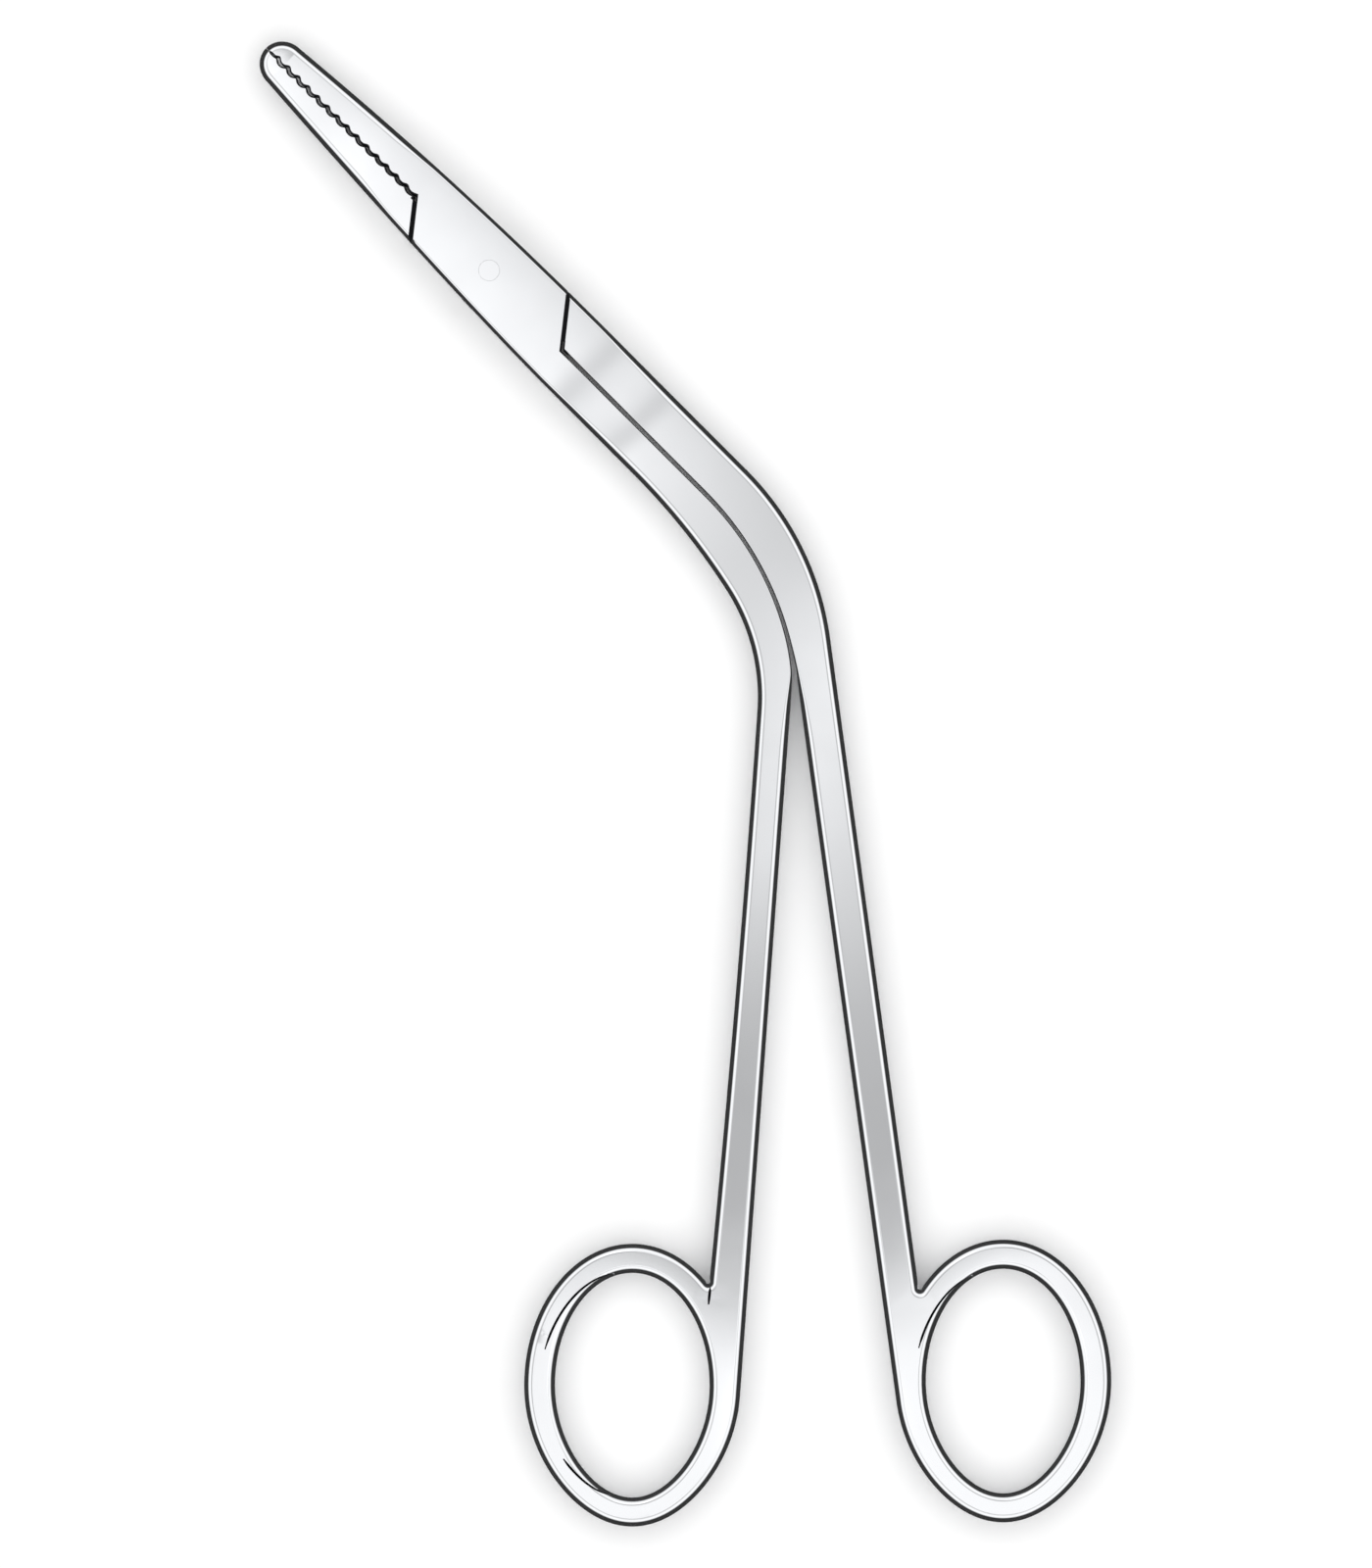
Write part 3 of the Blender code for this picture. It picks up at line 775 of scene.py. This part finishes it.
def steel(name, look):
    material, tree = emptyMaterial(name)
    place = addNode(tree, "ShaderNodeTexCoord").outputs["Object"]
    drift = addNode(
        tree, "ShaderNodeTexNoise", Vector=place, Scale=1 / (look["driftSize"] * mm), Detail=3.0
    ).outputs["Fac"]
    gloss = addNode(tree, "ShaderNodeMapRange", Value=drift)
    limits = (*noiseRange, *look["roughness"])
    for socket, value in zip(("From Min", "From Max", "To Min", "To Max"), limits):
        gloss.inputs[socket].default_value = value
    grain = addNode(
        tree, "ShaderNodeTexNoise", Vector=place, Scale=1 / (look["grainSize"] * mm), Detail=2.0
    ).outputs["Fac"]
    bump = addNode(tree, "ShaderNodeBump", Strength=1.0, Distance=look["grainDepth"] * mm, Height=grain)
    shader = addNode(
        tree, "ShaderNodeBsdfPrincipled", Metallic=1.0, Roughness=gloss.outputs["Result"],
        Normal=bump.outputs["Normal"],
    )
    shader.inputs["Base Color"].default_value = linear(look["colour"])
    addNode(tree, "ShaderNodeOutputMaterial", Surface=shader.outputs[0])
    return material


satin = steel("satinSteel", satinSteel)
milledPaintedShade = steel("milledSteelPaintedShade", milledSteelPaintedShade)
ground = steel("groundPinSteel", groundPin)
print("materials made")


pin = {"radius": 1.25, "seatClearance": 0.02, "runningClearance": 0.05}

boxPiece = boxHalf()
tonguePiece = tongueHalf()
pinPiece = roundBar("pivotPin", pin["radius"], boxLow.z / mm, boxHigh.z / mm)
pinPiece.data.materials.append(ground)
for piece, body, node, slot in (
    (boxPiece, "box_half", "box_half", "surgical_steel"),
    (tonguePiece, "tongue_half", "tongue_half", "surgical_steel"),
    (pinPiece, "box_half", "pivot_pin", "pin_steel"),
):
    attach(piece, body)
    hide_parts(node)
    piece.data.shade_smooth()
    piece.data.set_sharp_from_angle(angle=math.radians(finish["sharpAngle"]))
    weighted = piece.modifiers.new("weightedNormal", "WEIGHTED_NORMAL")
    weighted.mode = "FACE_AREA"
    weighted.keep_sharp = True
print("pieces in place")


# A plain white table. It takes the shadow, and is lifted to white where it is seen directly
# or in the metal.
table = {"radius": 3000.0, "facets": 96, "colour": "#FAFAFA", "lift": 0.04, "below": 0.02}


def whiteTable():
    material, tree = emptyMaterial("whiteTable")
    path = addNode(tree, "ShaderNodeLightPath").outputs
    seen = path["Is Camera Ray"]
    for other in ("Is Glossy Ray", "Is Transmission Ray"):
        seen = addNode(
            tree, "ShaderNodeMath", {"operation": "MAXIMUM"}, _0=seen, _1=path[other]
        ).outputs[0]
    lift = addNode(
        tree, "ShaderNodeMath", {"operation": "MULTIPLY"}, _0=seen, _1=table["lift"]
    )
    matt = addNode(tree, "ShaderNodeBsdfDiffuse", Color=linear(table["colour"]))
    glow = addNode(tree, "ShaderNodeEmission", Strength=lift.outputs[0])
    both = addNode(tree, "ShaderNodeAddShader", _0=matt.outputs[0], _1=glow.outputs[0])
    addNode(tree, "ShaderNodeOutputMaterial", Surface=both.outputs[0])
    return material


bm = bmesh.new()
bmesh.ops.create_circle(
    bm, cap_ends=True, segments=table["facets"], radius=table["radius"] * mm
)
bmesh.ops.translate(bm, verts=bm.verts, vec=(0, 0, -table["below"] * mm))
floor = finished("table", bm)
floor.data.materials.append(whiteTable())

# Straight down on the instrument, as the drawing shows it
viewpoint = {
    "centre": (23.66, -61.7),
    "frameHeight": 188.8,
    "distance": 1200.0,
    "sensor": 24.0,
    "clipMetres": 20.0,
}

# A light tent, by the sine of the height above the horizon: a dimmer patch right overhead,
# bright walls and a dark foot. Its mean over a flat surface is about 1.
tent = [
    (0.0, 0.05), (0.38, 0.05), (0.46, 0.4), (0.55, 1.2),
    (0.62, 1.5), (0.9, 1.5), (0.97, 0.8), (1.0, 0.68),
]
tentStrength = 2.0            # a ramp's colours end at 1, so the levels are divided by this


def lightTent():
    world = bpy.data.worlds.new("lightTent")
    world.use_nodes = True
    tree = world.node_tree
    tree.nodes.clear()
    direction = addNode(tree, "ShaderNodeTexCoord").outputs["Generated"]
    height = addNode(tree, "ShaderNodeSeparateXYZ", Vector=direction).outputs["Z"]
    ramp = addNode(tree, "ShaderNodeValToRGB", Fac=height)
    stops = ramp.color_ramp.elements
    for place, level in tent[len(stops):]:
        stops.new(place)
    for stop, (place, level) in zip(stops, tent):
        stop.position = place
        stop.color = (*[level / tentStrength] * 3, 1)
    background = addNode(
        tree, "ShaderNodeBackground", Color=ramp.outputs["Color"], Strength=tentStrength
    )
    addNode(tree, "ShaderNodeOutputWorld", Surface=background.outputs[0])
    return world


bpy.context.scene.world = lightTent()

# Small softboxes overhead, each mirrored in one stretch of the steel and brightest at its
# middle. The place is that of the stretch, and the camera sees it from a little further out.
softboxes = {
    "jaws": {
        "over": (-21.9, 6.4), "turn": -45.0, "size": (172.0, 60.0),
        "radiance": 0.86, "fade": (0.4, 0.6),
    },
    "band": {
        "over": (48.5, -43.0), "turn": -45.0, "size": (42.0, 42.0),
        "radiance": 0.4, "fade": (0.9, 0.9),
    },
    "elbow": {
        "over": (27.7, -29.0), "turn": 50.0, "size": (54.0, 46.0),
        "radiance": 0.2, "fade": (0.5, 1.0),
    },
    "shanks": {
        "over": (36.5, -59.5), "turn": 65.0, "size": (96.0, 80.0),
        "radiance": 0.66, "fade": (1.0, 1.0),
    },
    "leftRing": {
        "over": (11.0, -146.0), "turn": -32.0, "size": (75.0, 80.0),
        "radiance": 0.8, "fade": (0.4, 0.4),
    },
    "rightRing": {
        "over": (65.5, -145.5), "turn": 28.0, "size": (78.0, 90.0),
        "radiance": 0.82, "fade": (0.4, 0.37),
    },
}

# Each hangs a little over the last, since the steel mirrors only one of two that overlap in
# one plane
hanging = {"height": 300.0, "step": 2.0}


# Fades a softbox from full strength to nothing at its edges, over a share of its size
def fadeOut(tree, fades):
    tree.nodes.clear()
    place = addNode(tree, "ShaderNodeNewGeometry").outputs["Parametric"]
    place = addNode(tree, "ShaderNodeSeparateXYZ", Vector=place)
    strength = 1.0
    for axis, fade in zip("XY", fades):
        off = addNode(
            tree, "ShaderNodeMath", {"operation": "SUBTRACT"}, _0=place.outputs[axis], _1=0.5
        )
        off = addNode(tree, "ShaderNodeMath", {"operation": "ABSOLUTE"}, _0=off.outputs[0])
        level = addNode(
            tree, "ShaderNodeMapRange", {"interpolation_type": "SMOOTHSTEP"},
            Value=off.outputs[0], _1=0.5, _2=0.5 - fade / 2, _3=0.0, _4=1.0,
        )
        strength = addNode(
            tree, "ShaderNodeMath", {"operation": "MULTIPLY"}, _0=strength,
            _1=level.outputs["Result"],
        ).outputs[0]
    glow = addNode(tree, "ShaderNodeEmission", Strength=strength)
    addNode(tree, "ShaderNodeOutputLight", Surface=glow.outputs[0])


def hangSoftbox(name, look, height):
    lamp = bpy.data.lights.new(name + "Softbox", "AREA")
    lamp.shape = "RECTANGLE"
    lamp.size, lamp.size_y = (length * mm for length in look["size"])
    lamp.energy = look["radiance"] * math.pi * lamp.size * lamp.size_y
    lamp.use_nodes = True
    fadeOut(lamp.node_tree, look["fade"])
    softbox = bpy.data.objects.new(lamp.name, lamp)
    spreadOut = 1 + hanging["height"] / viewpoint["distance"]
    middleOfView = Vector(viewpoint["centre"])
    x, y = middleOfView + (Vector(look["over"]) - middleOfView) * spreadOut
    softbox.location = (x * mm, y * mm, height * mm)
    softbox.rotation_euler.z = math.radians(look["turn"])
    softbox.visible_camera = False
    bpy.context.scene.collection.objects.link(softbox)


for number, (name, look) in enumerate(softboxes.items()):
    hangSoftbox(name, look, hanging["height"] + number * hanging["step"])
print("light set")

view = bpy.data.cameras.new("camera")
view.sensor_fit = "VERTICAL"
view.sensor_height = viewpoint["sensor"]
view.lens = viewpoint["sensor"] * viewpoint["distance"] / viewpoint["frameHeight"]
view.clip_end = viewpoint["clipMetres"]
camera = bpy.data.objects.new("camera", view)
bpy.context.scene.collection.objects.link(camera)
x, y = viewpoint["centre"]
camera.location = (x * mm, y * mm, (middle + viewpoint["distance"]) * mm)
bpy.context.scene.camera = camera
bpy.context.scene.view_settings.view_transform = "Standard"
print("camera set")
